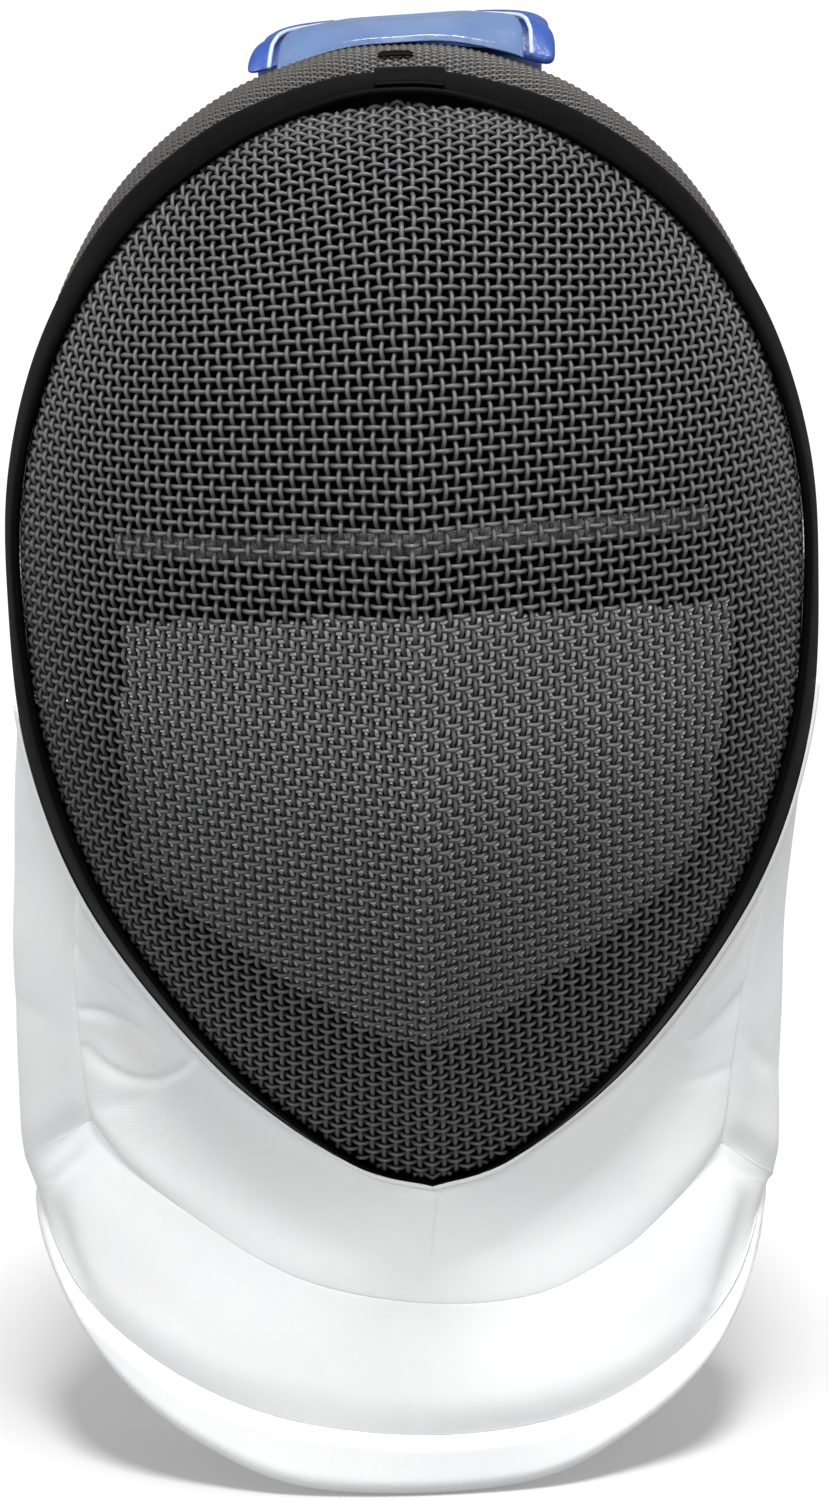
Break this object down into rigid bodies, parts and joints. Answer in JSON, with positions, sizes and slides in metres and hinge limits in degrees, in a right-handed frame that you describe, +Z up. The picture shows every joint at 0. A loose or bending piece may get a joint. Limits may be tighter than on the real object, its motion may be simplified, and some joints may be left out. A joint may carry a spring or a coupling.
{
  "type": "fencing mask",
  "caption": "Protective head mask with a creased bowl of woven wire, a dark rim, a wire crown, a dark lining, a quilted white throat bib and a padded blue rear tongue",
  "frame": {"origin": "the seat on top of the head: the inner side of the crown lining, in the middle plane at the highest point of the crown", "axes": "+Z is up, -Y is forwards where the wearer looks, +X is the wearer's left"},
  "size_m": [0.2231, 0.2545, 0.4032],
  "materials": {
    "black_wire": "satin",
    "steel_wire": "satin",
    "black_trim": "satin",
    "black_lining": "matte",
    "grey_tape": "matte",
    "white_cloth": "matte",
    "blue_cover": "coated, slightly glossy",
    "blue_panel": "glossy",
    "white_piping": "satin"
  },
  "bodies": {
    "root": {"front_mesh": "black_wire", "double_mesh": "steel_wire", "trim": "black_trim", "trim_joint": "black_trim", "crown_mesh": "steel_wire", "crown_binding": "black_trim", "crown_clip": "black_trim", "crown_lining": "black_lining", "neck_flap_left": "black_lining", "neck_flap_right": "black_lining", "chin_lining": "black_lining", "brow_band": "grey_tape", "bib_upper": "white_cloth", "bib_lower": "white_cloth", "bib_hem": "white_cloth", "bib_side_left": "white_cloth", "bib_side_right": "white_cloth", "tongue": "blue_cover", "tongue_panel": "blue_panel", "tongue_piping": "white_piping"}
  },
  "joints": []
}
